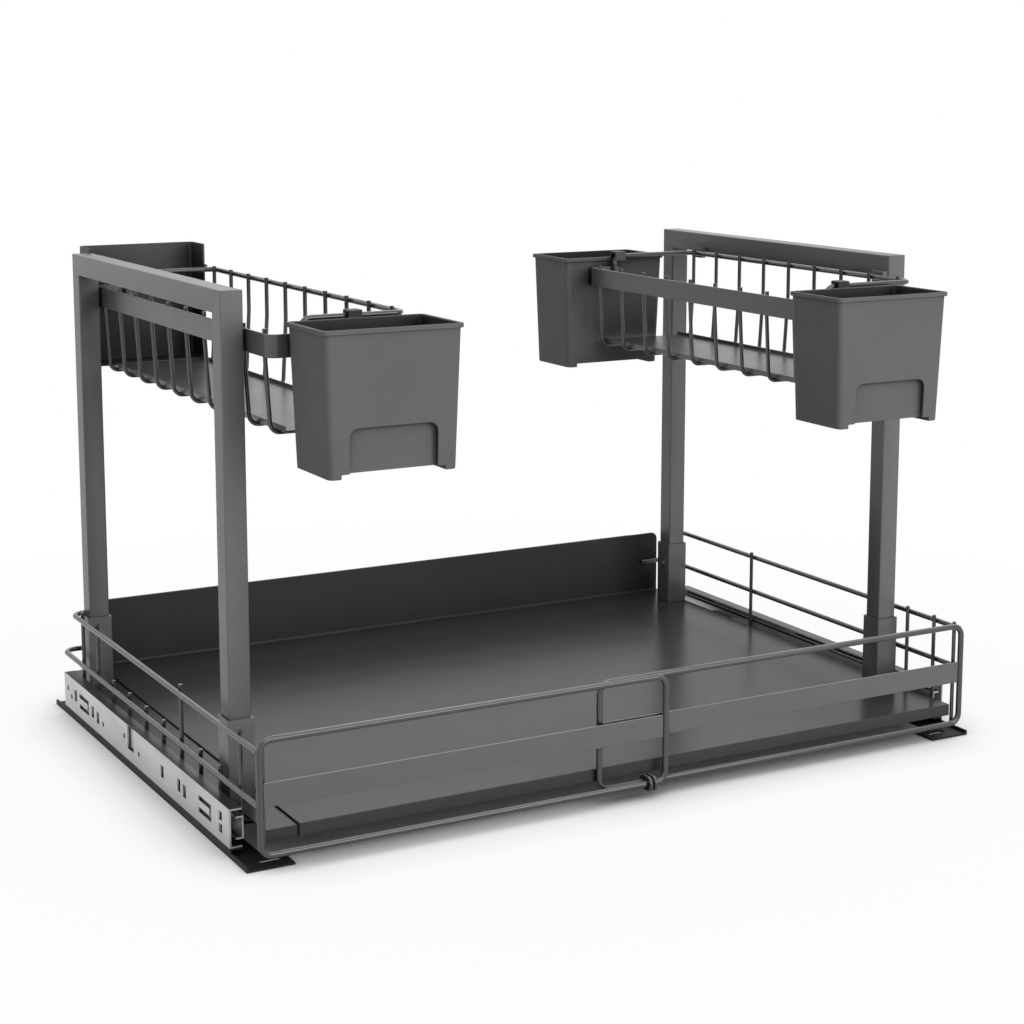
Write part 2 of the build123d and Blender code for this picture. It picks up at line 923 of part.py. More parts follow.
def bin_arch(inset, margin, direction):
    # What lies within the relief's arch and outside an inset from the wall that faces away from the basket
    half_width = bin_relief_width / 2 + margin
    arch = slab(
        (-half_width, half_width),
        sorted((-direction * bin_depth, 0)),
        (bin_bottom - overrun, bin_bottom + bin_relief_height + margin),
    )
    arch = fillet(arch.edges().filter_by(Axis.Y).group_by(Axis.Z)[-1], bin_relief_corner + margin)
    return arch - bin_block(inset, bin_bottom - 2 * overrun, bin_top + overrun)


def bin_hook(direction):
    # A strip from the rim up and over the basket's end wire
    wall_y = direction * bin_depth / 2
    wire_far = band_thickness + 2 * basket_rail_radius + loop_clearance + bin_gap + bin_hook_clearance
    hook_end = wall_y + direction * (wire_far + bin_wall)
    hook_x = (-bin_hook_width / 2, bin_hook_width / 2)
    wall_range = sorted((wall_y - direction * bin_wall, wall_y))
    lip_range = sorted((hook_end - direction * bin_wall, hook_end))
    riser = slab(hook_x, wall_range, (bin_top - bin_rim_height, hook_top))
    arm = slab(hook_x, sorted((wall_y - direction * bin_wall, hook_end)), (hook_top - bin_wall, hook_top))
    lip = slab(hook_x, lip_range, (hook_top - bin_hook_drop - bin_wall, hook_top))
    return riser + arm + lip


def hanging_bin(start_x, basket_side_y, direction):
    # A moulded bin; its hook points in the given direction along y
    floor_low = bin_bottom + bin_foot_height
    cavity = bin_block(bin_wall, floor_low + bin_wall, bin_top + overrun)
    rim = extrude(
        Pos(0, 0, bin_top - bin_rim_height) * RectangleRounded(bin_width, bin_depth, bin_corner),
        bin_rim_height,
    )
    shell = bin_block(0, floor_low, bin_top) + rim
    shell = shell - (cavity - bin_arch(bin_relief_depth + bin_wall, bin_wall, direction))
    whole = shell + bin_feet() - bin_arch(bin_relief_depth, 0, direction) + bin_hook(direction)
    place_y = basket_side_y - direction * bin_depth / 2
    return Pos(start_x + bin_width / 2, place_y, 0) * whole


def end_panel():
    # The shallow bin behind the left basket, open towards the basket
    x_range = (end_panel_start, end_panel_start + end_panel_width)
    outer = slab(x_range, (panel_front, panel_front + end_panel_depth), (end_panel_bottom, end_panel_top))
    outer = fillet(outer.edges().filter_by(Axis.Z).group_by(Axis.Y)[-1], bin_corner)
    inner = slab(
        (x_range[0] + bin_wall, x_range[1] - bin_wall),
        (panel_front - overrun, panel_front + end_panel_depth - bin_wall),
        (end_panel_bottom + bin_wall, end_panel_top + overrun),
    )
    inner = fillet(inner.edges().filter_by(Axis.Z).group_by(Axis.Y)[-1], bin_corner - bin_wall)
    ear_end = panel_front - bin_gap - band_thickness - 2 * basket_rail_radius
    ear_x = (x_range[1] - bin_wall, x_range[1])
    arm = slab(ear_x, (ear_end, panel_front), (hook_top - bin_wall, hook_top))
    return outer - inner + arm


def write_frame(side, stand, turn):
    # One tube frame: posts, beam, sleeves and screws
    front_post = post(stand, 0, tube_side) - screw_hole(0, tube_side)
    rear_post = post(stand, post_depth_span, rear_post_y) - screw_hole(rear_post_y, tube_side)
    save(turn(front_post), "post_front_" + side)
    save(turn(rear_post), "post_rear_" + side)
    save(turn(group([sleeve(0, stand), sleeve(rear_post_y, stand)])), "sleeves_" + side)
    save(turn(beam()), "beam_" + side)
    save(turn(group([sleeve_screw(0), sleeve_screw(rear_post_y)])), "sleeve_screws_" + side)


def write_slide(side, turn):
    # One ball slide with its rail on the cabinet floor
    save(turn(slide_outer()), "slide_outer_" + side)
    save(turn(slide_middle()), "slide_middle_" + side)
    save(turn(slide_inner()), "slide_inner_" + side)
    save(turn(ball_cages()), "ball_cages_" + side)
    rail = base_rail()
    for y in bar_places():
        rail = rail - rivet_hole(slide_inner_x + rivet_inset, y)
    save(turn(rail), "base_rail_" + side)
    save(turn(rivets()), "bar_rivets_" + side)


def write_basket(side, start, width, rear, count):
    # One wire basket
    save(basket_band(start, rear), "basket_band_" + side)
    save(basket_rail(start, width, rear), "basket_rail_" + side)
    save(band_side_wires(start, rear, count), "basket_band_side_wires_" + side)
    save(floor_wires(start, width, rear, count), "basket_floor_wires_" + side)
    save(rail_side_wires(start, width, rear, count), "basket_rail_side_wires_" + side)
    save(basket_floor(start, width, rear), "basket_floor_" + side)


def write_side_guard(side, guard_place, plate_front, rail_heights, turn):
    # The two rails along one side of the tray
    upper_height, lower_height = rail_heights
    rails = [upper_rail(guard_place, upper_height), lower_rail(guard_place, plate_front, lower_height)]
    save(turn(group(rails)), "side_rails_" + side)


def keep(shape):
    # The left side stays as it is drawn
    return shape


def main():
    os.makedirs("parts", exist_ok=True)
    write_frame("left", left_stand + weld_gap, keep)
    write_frame("right", weld_gap, mirrored)
    write_slide("left", keep)
    write_slide("right", mirrored)
    save(group([outer_bar(y) for y in bar_places()]), "outer_bars")
    save(group([inner_bar(y) for y in bar_places()]), "inner_bars")

    left_floor = tray_floor(
        (floor_side, outer_width - floor_side - sheet_overlap_end),
        (left_floor_front, left_plate_front),
        left_stand,
    )
    right_floor = tray_floor((seam_x, outer_width - floor_side), (floor_front, floor_rear), 0)
    save(left_floor, "tray_floor_left")
    save(right_floor, "tray_floor_right")
    left_plate_range = (left_plate_start, outer_width - floor_side - sheet_overlap_end)
    right_plate_range = (seam_x, outer_width)
    save(back_plate(left_plate_range, left_plate_front, left_stand - sheet), "back_plate_left")
    save(
        back_plate(right_plate_range, floor_rear, -sheet) + bead(right_plate_range, floor_rear),
        "back_plate_right",
    )

    left_heights = (left_upper_rail_height, left_lower_rail_height)
    right_heights = (right_upper_rail_height, right_lower_rail_height)
    write_side_guard("left", guard_front, left_plate_front, left_heights, keep)
    write_side_guard("right", right_guard_place, floor_rear, right_heights, mirrored)
    save(cross_wires(left_wire_places(), cross_wire_z), "cross_wires_left")
    save(mirrored(cross_wires(right_wire_places, right_cross_wire_z)), "cross_wires_right")
    left_side = side_wires(left_wire_places(), left_tall_wires, left_heights, cross_wire_z, guard_front)
    right_side = side_wires(
        right_wire_places,
        right_tall_wires,
        right_heights,
        right_cross_wire_z,
        right_guard_place,
    )
    save(left_side, "side_wires_left")
    save(mirrored(right_side), "side_wires_right")
    save(brackets(left_stand - sheet), "slide_brackets_left")
    save(mirrored(brackets(-sheet)), "slide_brackets_right")
    left_guard = (rail_x, middle + left_guard_past_middle)
    right_guard = (middle - right_guard_past_middle, outer_width - rail_x)
    save(guard_loop(*left_guard, guard_front), "front_guard_left")
    save(guard_loop(*right_guard, right_guard_place), "front_guard_right")
    save(guard_band(*left_guard, guard_front), "front_band_left")
    save(guard_band(*right_guard, right_guard_place), "front_band_right")
    clip_start = left_guard[1] - guard_corner - guard_wire_radius
    clips = [frame_clip(clip_start - number * clip_pitch) for number in range(clip_count)]
    save(group(clips), "guard_clips")

    write_basket("left", left_basket_start, left_basket_width, left_basket_rear, left_basket_wire_count)
    write_basket("right", right_basket_start, right_basket_width, right_basket_rear, right_basket_wire_count)
    save(left_basket_pads(), "basket_pads_left")
    save(right_basket_brackets(), "basket_brackets_right")

    save(hanging_bin(left_bin_start, front_bin_rear, 1), "bin_front_left")
    save(hanging_bin(front_right_bin_start, front_bin_rear, 1), "bin_front_right")
    save(hanging_bin(rear_right_bin_start, rear_bin_front, -1), "bin_rear_right")
    save(end_panel(), "bin_rear_left")


main()
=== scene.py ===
"""Finishes and studio for a two-part sliding under-sink organizer."""

import json
import math

import bmesh
import bpy
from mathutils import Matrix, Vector

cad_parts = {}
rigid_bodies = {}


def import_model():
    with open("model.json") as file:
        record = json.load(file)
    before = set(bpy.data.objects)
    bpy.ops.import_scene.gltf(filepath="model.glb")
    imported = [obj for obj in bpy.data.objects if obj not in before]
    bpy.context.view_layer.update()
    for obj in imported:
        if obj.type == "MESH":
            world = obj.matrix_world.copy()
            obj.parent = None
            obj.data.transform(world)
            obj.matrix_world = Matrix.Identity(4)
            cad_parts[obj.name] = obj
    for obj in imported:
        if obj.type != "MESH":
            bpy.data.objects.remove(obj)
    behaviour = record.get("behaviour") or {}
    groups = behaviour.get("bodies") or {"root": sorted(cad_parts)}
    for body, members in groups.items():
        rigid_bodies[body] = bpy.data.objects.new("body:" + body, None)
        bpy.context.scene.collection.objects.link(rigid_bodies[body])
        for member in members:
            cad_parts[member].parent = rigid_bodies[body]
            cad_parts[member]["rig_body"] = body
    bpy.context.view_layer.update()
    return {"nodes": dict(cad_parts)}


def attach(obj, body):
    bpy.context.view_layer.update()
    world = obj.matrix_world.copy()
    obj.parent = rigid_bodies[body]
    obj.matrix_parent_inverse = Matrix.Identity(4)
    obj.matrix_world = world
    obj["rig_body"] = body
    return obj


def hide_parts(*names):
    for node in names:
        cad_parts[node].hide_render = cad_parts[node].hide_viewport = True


bl_info = {
    "name": "Under-sink organizer",
    "version": (1, 0, 0),
    "blender": (4, 5, 0),
    "location": "3D View > Sidebar > Organizer",
    "description": "Rounds, paints and lights a two-part sliding under-sink organizer",
    "category": "Object",
}

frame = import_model()


def both_sides(*kinds):
    """The names of the left and the right node of each kind."""
    return [f"{kind}_{side}" for side in ("left", "right") for kind in kinds]


# Nodes by the way in which they are finished
TUBE_NODES = both_sides("post_front", "post_rear")
BEAM_NODES = both_sides("beam")
SLEEVE_NODES = both_sides("sleeves")
BASKET_SHEET_NODES = both_sides("basket_floor") + ["basket_pads_left", "basket_brackets_right"]
BAND_NODES = both_sides("basket_band", "front_band")
TRAY_SHEET_NODES = both_sides("tray_floor", "back_plate")
WIRE_NODES = both_sides(
    "side_rails",
    "cross_wires",
    "side_wires",
    "front_guard",
    "basket_rail",
    "basket_band_side_wires",
    "basket_floor_wires",
    "basket_rail_side_wires",
) + ["guard_clips"]
BASE_NODES = both_sides("base_rail", "slide_brackets") + ["outer_bars", "inner_bars"]
SLIDE_NODES = both_sides("slide_outer", "slide_middle", "slide_inner", "ball_cages")
FASTENER_NODES = both_sides("sleeve_screws", "bar_rivets")
BIN_NODES = ["bin_front_left", "bin_front_right", "bin_rear_right", "bin_rear_left"]

# What counts as a sharp, an upright and a lengthwise edge of a solid, in metres
SHARP_ANGLE = math.radians(35)
FLAT_ANGLE = math.radians(0.4)
WELD_DISTANCE = 0.00001
UPRIGHT_LENGTH = 0.020
LENGTHWISE_LENGTH = 0.100
STRAY = 0.001

# How many flat strips make up a rounded edge
TUBE_STEPS = 4
SLEEVE_STEPS = 3
SHEET_STEPS = 2
BASE_STEPS = 2
BIN_STEPS = 3

# The range that a noise rarely leaves, and how many finer layers it can have
NOISE_LOW = 0.3
NOISE_HIGH = 0.7
PLAIN_DETAIL = 2.0
FINE_DETAIL = 3.0
RICH_DETAIL = 4.0

# Powder coat: patch sizes in grains, tones as shares of the colour
COAT_PATCH_GRAINS = 60
COAT_PATCH_TONES = (0.96, 1.04)
COAT_DULL_GRAINS = 25
COAT_DULL_LESS = 0.015
COAT_DULL_MORE = 0.02
COAT_BUMP_STRENGTH = 0.25
COAT_BUMP_DISTANCE = 0.00008
# Painted highlight: sharp edges, found by their pointiness, get a paler tone
EDGE_HIGHLIGHT_POINTINESS = (0.52, 0.62)
EDGE_HIGHLIGHT_TONE = 2.6
EDGE_HIGHLIGHT_SHARE = 0.5
NO_EDGE_HIGHLIGHT_SHARE = 0.0
# Painted highlight: what faces straight up gets a paler tone, on bands and wires
TOP_HIGHLIGHT_LEVEL = (0.6, 0.97)
BAND_TOP_HIGHLIGHT_TONE = 6.0
WIRE_TOP_HIGHLIGHT_TONE = 7.0
# Painted shade: the coat darkens to a share of its colour where it is covered nearby
COAT_PAINTED_SHADE = {"reach": 0.06, "tone": 0.25, "shut": 0.1, "open": 0.85}

# Specular level of each coat, and how much smoother the wires are than the frame
FRAME_SHINE = 0.5
TRAY_SHINE = 0.12
WIRE_SHINE = 0.8
BASE_SHINE = 0.15
WIRE_SMOOTHER = 0.12

# Zinc plate: clouds and rolling streaks, drawn out along the slides
ZINC_METAL = 0.85
ZINC_CLOUD_SIZE = 0.018
ZINC_CLOUD_STRETCH = (1.0, 3.0, 1.0)
ZINC_CLOUD_TONES = (0.86, 1.08)
ZINC_STREAK_SIZE = 0.0012
ZINC_STREAK_STRETCH = (1.0, 40.0, 1.0)
ZINC_ROUGHNESS = (0.30, 0.46)
ZINC_BUMP_STRENGTH = 0.12
ZINC_BUMP_DISTANCE = 0.00005
# Painted shade: the slides' faces that point straight up are darkened to this tone; screws keep
# their tone
SHADED_TOP_LEVEL = (0.5, 0.9)
SHADED_TOP_TONE = 0.12
UNSHADED_TOP_TONE = 1.0

# Moulded plastic
PLASTIC_SHINE = 0.25
PLASTIC_CLOUD_SIZE = 0.05
PLASTIC_CLOUD_TONES = (0.95, 1.04)
PLASTIC_DULL_SIZE = 0.02
PLASTIC_DULL_LESS = 0.03
PLASTIC_DULL_MORE = 0.04
PLASTIC_BUMP_STRENGTH = 0.3
PLASTIC_BUMP_DISTANCE = 0.00006
# Painted shade: the plastic darkens where it is covered, as in the bins' insides
PLASTIC_PAINTED_SHADE = {"reach": 0.12, "tone": 0.04, "shut": 0.42, "open": 0.9}

# Rays that measure how covered a place is, for the painted shade and the floor's painted shadow
PAINTED_SHADE_SAMPLES = 8
SHADOW_SAMPLES = 12

# Studio floor and surroundings
WHITE = (1.0, 1.0, 1.0, 1.0)
FLOOR_COLOUR = (0.8, 0.8, 0.8, 1.0)
FLOOR_SIDES = 96
FLOOR_GLOW_SHARES = (0.96, 1.0)
FLOOR_GLOW_START = 0.5
# Painted contact shadow on the floor's glow: the cover that gives its full depth and the cover
# that gives none
SHADOW_COVER = (0.16, 0.93)
AMBIENT_STRENGTH = 0.14

# Lamps: place, width, height and power
LAMP_TARGET = (0.0, 0.0, 0.15)
LAMPS = {
    "key_lamp": ((0.35, -1.65, 0.75), 1.6, 0.8, 14.5),
    "top_lamp": ((-0.2, -0.8, 2.0), 1.2, 0.8, 4.0),
    "side_lamp": ((-2.0, -0.3, 0.7), 1.2, 0.8, 3.0),
    "rear_lamp": ((1.2, 2.4, 1.7), 1.4, 1.0, 5.0),
}

# Camera, fitted to the object's edges in the photograph
CAMERA_LENS = 73.67
CAMERA_SENSOR = 36.0
CAMERA_SHIFT = -100 / 1024
CAMERA_REACH = 50.0
CAMERA_PLACE = (-0.7683, -1.4099, 0.5105)
CAMERA_DOWN_DEGREES = 9.2
CAMERA_TURN_DEGREES = -28.7


def size_property(name, description, default):
    return bpy.props.FloatProperty(
        name=name,
        description=description,
        default=default,
        min=0.0,
        unit="LENGTH",
        precision=5,
    )


def colour_property(name, description, default):
    return bpy.props.FloatVectorProperty(
        name=name,
        description=description,
        default=default,
        size=3,
        min=0.0,
        max=1.0,
        subtype="COLOR",
    )


def share_property(name, description, default):
    return bpy.props.FloatProperty(
        name=name,
        description=description,
        default=default,
        min=0.0,
        max=1.0,
        subtype="FACTOR",
    )


class OrganizerSizes(bpy.types.PropertyGroup):
    tube_rounding: size_property(
        "Tube rounding", "Outside radius of the square tubes' long edges", 0.0010
    )
    sleeve_rounding: size_property(
        "Sleeve rounding", "Radius of the sleeves' upright edges", 0.0009
    )
    sheet_rounding: size_property(
        "Sheet rounding", "Radius on the cut edges of the painted sheets", 0.0005
    )
    bin_rounding: size_property(
        "Bin rounding", "Radius on the edges of the moulded bins", 0.0006
    )
    base_rounding: size_property(
        "Base rounding", "Radius on the edges of the base rails", 0.0003
    )
    coat_grain: size_property("Coat grain", "Size of the powder coat's grain", 0.0012)
    plastic_grain: size_property(
        "Plastic grain", "Size of the spark-etched grain on the bins", 0.0008
    )
    floor_radius: size_property("Floor radius", "Radius of the studio floor", 7.0)
    shadow_radius: size_property(
        "Shadow radius", "How far from the middle the floor still shows shadows", 0.8
    )
    shadow_reach: size_property(
        "Shadow reach", "How far from the object its contact shadow reaches", 0.07
    )


class OrganizerFinishes(bpy.types.PropertyGroup):
    coat_colour: colour_property(
        "Coat", "Colour of the powder coat on tubes and sheets", (0.110, 0.110, 0.112)
    )
    base_colour: colour_property(
        "Base coat", "Colour of the coat on rails and bars under the tray", (0.03, 0.03, 0.031)
    )
    wire_colour: colour_property("Wire", "Colour of the painted wires", (0.05, 0.05, 0.051))
    tray_colour: colour_property("Tray", "Colour of the tray's sheets", (0.058, 0.058, 0.059))
    plastic_colour: colour_property(
        "Plastic", "Colour of the moulded bins", (0.155, 0.155, 0.159)
    )
    zinc_colour: colour_property("Zinc", "Colour of the ball slides", (0.56, 0.56, 0.55))
    screw_colour: colour_property(
        "Screw", "Colour of the screws and rivets", (0.30, 0.30, 0.31)
    )
    coat_gloss: share_property("Coat roughness", "Roughness of the powder coat", 0.32)
    tray_gloss: share_property("Tray roughness", "Roughness of the tray's sheets", 0.24)
    plastic_gloss: share_property(
        "Plastic roughness", "Roughness of the bins and of the dull base coat", 0.55
    )
    floor_shadow: share_property(
        "Floor shadow", "How much the floor darkens where the object covers it", 0.97
    )


def new_material(name):
    material = bpy.data.materials.new(name)
    material.use_nodes = True
    tree = material.node_tree
    tree.nodes.clear()
    output = tree.nodes.new("ShaderNodeOutputMaterial")
    shader = tree.nodes.new("ShaderNodeBsdfPrincipled")
    tree.links.new(shader.outputs["BSDF"], output.inputs["Surface"])
    return material, tree, shader


def object_noise(tree, size, detail, stretch=(1.0, 1.0, 1.0)):
    """Noise with features of about the given size, drawn out along an axis by its stretch."""
    place = tree.nodes.new("ShaderNodeTexCoord")
    mapping = tree.nodes.new("ShaderNodeMapping")
    mapping.inputs["Scale"].default_value = [1.0 / share for share in stretch]
    noise = tree.nodes.new("ShaderNodeTexNoise")
    noise.inputs["Scale"].default_value = 1.0 / size
    noise.inputs["Detail"].default_value = detail
    tree.links.new(place.outputs["Object"], mapping.inputs["Vector"])
    tree.links.new(mapping.outputs["Vector"], noise.inputs["Vector"])
    return noise.outputs["Fac"]


def ranged(tree, value, low, high, from_low=NOISE_LOW, from_high=NOISE_HIGH):
    """The value, moved from one range to another and held within it."""
    node = tree.nodes.new("ShaderNodeMapRange")
    node.inputs["From Min"].default_value = from_low
    node.inputs["From Max"].default_value = from_high
    node.inputs["To Min"].default_value = low
    node.inputs["To Max"].default_value = high
    tree.links.new(value, node.inputs["Value"])
    return node.outputs["Result"]


def blended(tree, share, first, second):
    """A colour mix whose inputs A and B can still be linked over."""
    node = tree.nodes.new("ShaderNodeMix")
    node.data_type = "RGBA"
    node.inputs["A"].default_value = (*first, 1.0)
    node.inputs["B"].default_value = (*second, 1.0)
    tree.links.new(share, node.inputs["Factor"])
    return node


def bumped(tree, shader, height, strength, distance):
    node = tree.nodes.new("ShaderNodeBump")
    node.inputs["Strength"].default_value = strength
    node.inputs["Distance"].default_value = distance
    tree.links.new(height, node.inputs["Height"])
    tree.links.new(node.outputs["Normal"], shader.inputs["Normal"])


def scaled(colour, share):
    return [part * share for part in colour]


def clouded(tree, colour, size, detail, tones, stretch=(1.0, 1.0, 1.0)):
    """The colour, clouded between two tones by noise of the given size."""
    clouds = ranged(tree, object_noise(tree, size, detail, stretch), 0.0, 1.0)
    low, high = tones
    return blended(tree, clouds, scaled(colour, low), scaled(colour, high)).outputs["Result"]


def level_share(tree, normal, levels):
    """0 on slopes and 1 on what faces straight up, by one of the surface's normals."""
    up = tree.nodes.new("ShaderNodeSeparateXYZ")
    geometry = tree.nodes.new("ShaderNodeNewGeometry")
    tree.links.new(geometry.outputs[normal], up.inputs["Vector"])
    return ranged(tree, up.outputs["Z"], 0.0, 1.0, *levels)


def toned(tree, tone, share, colour, other_tone):
    """The tone where the share is 0, and another tone of the colour where it is 1."""
    mix = blended(tree, share, colour, scaled(colour, other_tone))
    tree.links.new(tone, mix.inputs["A"])
    return mix.outputs["Result"]


def with_painted_shade(tree, tone, colour, shade):
    """Painted shade: the tone, falling to the shade's tone of the colour where its reach finds
    cover.
    """
    cover = tree.nodes.new("ShaderNodeAmbientOcclusion")
    cover.samples = PAINTED_SHADE_SAMPLES
    cover.inputs["Distance"].default_value = shade["reach"]
    open_share = ranged(tree, cover.outputs["AO"], 0.0, 1.0, shade["shut"], shade["open"])
    mix = blended(tree, open_share, scaled(colour, shade["tone"]), colour)
    tree.links.new(tone, mix.inputs["B"])
    return mix.outputs["Result"]


def coat(name, colour, roughness, shine, grain, edge_highlight_share, top_highlight_tone=None):
    """Powder coat: fine orange peel, faint patches, painted highlights on sharp edges and painted
    shade where covered.

    With a top highlight tone, what faces straight up gets that tone as a painted highlight, as on
    wires and thin edges.
    """
    material, tree, shader = new_material(name)
    shader.inputs["Specular IOR Level"].default_value = shine
    tone = clouded(tree, colour, grain * COAT_PATCH_GRAINS, FINE_DETAIL, COAT_PATCH_TONES)
    geometry = tree.nodes.new("ShaderNodeNewGeometry")
    # Painted highlight on sharp edges
    edge_highlight = ranged(tree, geometry.outputs["Pointiness"], 0.0, edge_highlight_share, *EDGE_HIGHLIGHT_POINTINESS)
    tone = toned(tree, tone, edge_highlight, colour, EDGE_HIGHLIGHT_TONE)
    if top_highlight_tone is not None:
        # Painted highlight on what faces straight up
        top_highlight = level_share(tree, "Normal", TOP_HIGHLIGHT_LEVEL)
        tone = toned(tree, tone, top_highlight, colour, top_highlight_tone)
    # Painted shade where the surface is covered nearby
    tree.links.new(with_painted_shade(tree, tone, colour, COAT_PAINTED_SHADE), shader.inputs["Base Color"])
    dull = object_noise(tree, grain * COAT_DULL_GRAINS, PLAIN_DETAIL)
    tree.links.new(
        ranged(tree, dull, roughness - COAT_DULL_LESS, roughness + COAT_DULL_MORE),
        shader.inputs["Roughness"],
    )
    peel = object_noise(tree, grain, FINE_DETAIL)
    bumped(tree, shader, peel, COAT_BUMP_STRENGTH, COAT_BUMP_DISTANCE)
    return material


def zinc(name, colour, top_shade_tone):
    """Zinc plate: rolling streaks, cloudy tone, and a painted shade tone of its own on what faces
    straight up.
    """
    material, tree, shader = new_material(name)
    shader.inputs["Metallic"].default_value = ZINC_METAL
    tone = clouded(
        tree, colour, ZINC_CLOUD_SIZE, RICH_DETAIL, ZINC_CLOUD_TONES, ZINC_CLOUD_STRETCH
    )
    # Painted shade on what faces straight up
    shaded_top = level_share(tree, "True Normal", SHADED_TOP_LEVEL)
    tree.links.new(toned(tree, tone, shaded_top, colour, top_shade_tone), shader.inputs["Base Color"])
    streaks = object_noise(tree, ZINC_STREAK_SIZE, FINE_DETAIL, ZINC_STREAK_STRETCH)
    tree.links.new(ranged(tree, streaks, *ZINC_ROUGHNESS), shader.inputs["Roughness"])
    bumped(tree, shader, streaks, ZINC_BUMP_STRENGTH, ZINC_BUMP_DISTANCE)
    return material


def moulded(name, colour, roughness, grain):
    """Moulded plastic: an even etched grain, with the tone a little clouded by the mould."""
    material, tree, shader = new_material(name)
    shader.inputs["Specular IOR Level"].default_value = PLASTIC_SHINE
    tone = clouded(tree, colour, PLASTIC_CLOUD_SIZE, FINE_DETAIL, PLASTIC_CLOUD_TONES)
    # Painted shade in the bins' insides and other covered places
    tree.links.new(with_painted_shade(tree, tone, colour, PLASTIC_PAINTED_SHADE), shader.inputs["Base Color"])
    dull = object_noise(tree, PLASTIC_DULL_SIZE, PLAIN_DETAIL)
    tree.links.new(
        ranged(tree, dull, roughness - PLASTIC_DULL_LESS, roughness + PLASTIC_DULL_MORE),
        shader.inputs["Roughness"],
    )
    etched = object_noise(tree, grain, PLAIN_DETAIL)
    bumped(tree, shader, etched, PLASTIC_BUMP_STRENGTH, PLASTIC_BUMP_DISTANCE)
    return material


def painted(node, material):
    piece = frame["nodes"][node]
    piece.data.materials.clear()
    piece.data.materials.append(material)


def all_edges(edge):
    return True


def upright_edges(edge):
    run = edge.verts[1].co - edge.verts[0].co
    return abs(run.z) > UPRIGHT_LENGTH and abs(run.x) + abs(run.y) < STRAY


def lengthwise_edges(edge):
    run = edge.verts[1].co - edge.verts[0].co
    return abs(run.y) > LENGTHWISE_LENGTH and abs(run.x) + abs(run.z) < STRAY


def marked_shape(source, chosen):
    """The solid's faces, smooth, with its chosen sharp edges marked for rounding."""
    shape = bmesh.new()
    shape.from_mesh(source.data)
    bmesh.ops.remove_doubles(shape, verts=shape.verts, dist=WELD_DISTANCE)
    bmesh.ops.dissolve_limit(
        shape, angle_limit=FLAT_ANGLE, verts=shape.verts, edges=shape.edges
    )
    weights = shape.edges.layers.float.new("bevel_weight_edge")
    for face in shape.faces:
        face.smooth = True
    for edge in shape.edges:
        sharp = len(edge.link_faces) == 2 and edge.calc_face_angle(0.0) > SHARP_ANGLE
        edge[weights] = 1.0 if sharp and chosen(edge) else 0.0
        edge.smooth = not sharp or chosen(edge)
    return shape


def rounded(node, radius, steps, chosen, material):
    """A copy of a solid with its chosen sharp edges rounded, standing for the solid."""
    source = frame["nodes"][node]
    shape = marked_shape(source, chosen)
    mesh = bpy.data.meshes.new(node + "_finished")
    shape.to_mesh(mesh)
    shape.free()
    mesh.materials.append(material)
    piece = bpy.data.objects.new(node + "_finished", mesh)
    bpy.context.scene.collection.objects.link(piece)
    bevel = piece.modifiers.new("rounding", "BEVEL")
    bevel.limit_method = "WEIGHT"
    bevel.width = radius
    bevel.segments = steps
    bevel.use_clamp_overlap = True
    shading = piece.modifiers.new("shading", "WEIGHTED_NORMAL")
    shading.keep_sharp = True
    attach(piece, source["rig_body"])
    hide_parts(node)


class ORGANIZER_OT_frame(bpy.types.Operator):
    """Round and coat the two upright frames, their sleeves and the baskets' bands and sheets"""

    bl_idname = "organizer.frame"
    bl_label = "Upright frames"

    def execute(self, context):
        sizes = context.scene.organizer_sizes
        finishes = context.scene.organizer_finishes
        colour, roughness = finishes.coat_colour, finishes.coat_gloss
        grain = sizes.coat_grain
        frame_coat = coat("frame_coat", colour, roughness, FRAME_SHINE, grain, EDGE_HIGHLIGHT_SHARE)
        band_coat = coat(
            "band_coat", colour, roughness, FRAME_SHINE, grain, EDGE_HIGHLIGHT_SHARE, BAND_TOP_HIGHLIGHT_TONE
        )
        tube, sleeve, sheet = sizes.tube_rounding, sizes.sleeve_rounding, sizes.sheet_rounding
        for nodes, radius, steps, chosen, material in (
            (TUBE_NODES, tube, TUBE_STEPS, upright_edges, frame_coat),
            (BEAM_NODES, tube, TUBE_STEPS, lengthwise_edges, frame_coat),
            (SLEEVE_NODES, sleeve, SLEEVE_STEPS, upright_edges, frame_coat),
            (BASKET_SHEET_NODES, sheet, SHEET_STEPS, all_edges, frame_coat),
            (BAND_NODES, sheet, SHEET_STEPS, all_edges, band_coat),
        ):
            for node in nodes:
                rounded(node, radius, steps, chosen, material)
        return {"FINISHED"}


class ORGANIZER_OT_tray(bpy.types.Operator):
    """Round and coat the tray's floor sheets and back plates"""

    bl_idname = "organizer.tray"
    bl_label = "Tray sheets"

    def execute(self, context):
        sizes = context.scene.organizer_sizes
        finishes = context.scene.organizer_finishes
        tray_coat = coat(
            "tray_coat",
            finishes.tray_colour,
            finishes.tray_gloss,
            TRAY_SHINE,
            sizes.coat_grain,
            EDGE_HIGHLIGHT_SHARE,
        )
        for node in TRAY_SHEET_NODES:
            radius = sizes.sheet_rounding
            rounded(node, radius, SHEET_STEPS, all_edges, tray_coat)
        return {"FINISHED"}


class ORGANIZER_OT_wires(bpy.types.Operator):
    """Coat the rails, guards and basket wires"""

    bl_idname = "organizer.wires"
    bl_label = "Wires and rails"

    def execute(self, context):
        sizes = context.scene.organizer_sizes
        finishes = context.scene.organizer_finishes
        wire_coat = coat(
            "wire_coat",
            finishes.wire_colour,
            finishes.coat_gloss - WIRE_SMOOTHER,
            WIRE_SHINE,
            sizes.coat_grain,
            NO_EDGE_HIGHLIGHT_SHARE,
            WIRE_TOP_HIGHLIGHT_TONE,
        )
        for node in WIRE_NODES:
            painted(node, wire_coat)
        return {"FINISHED"}


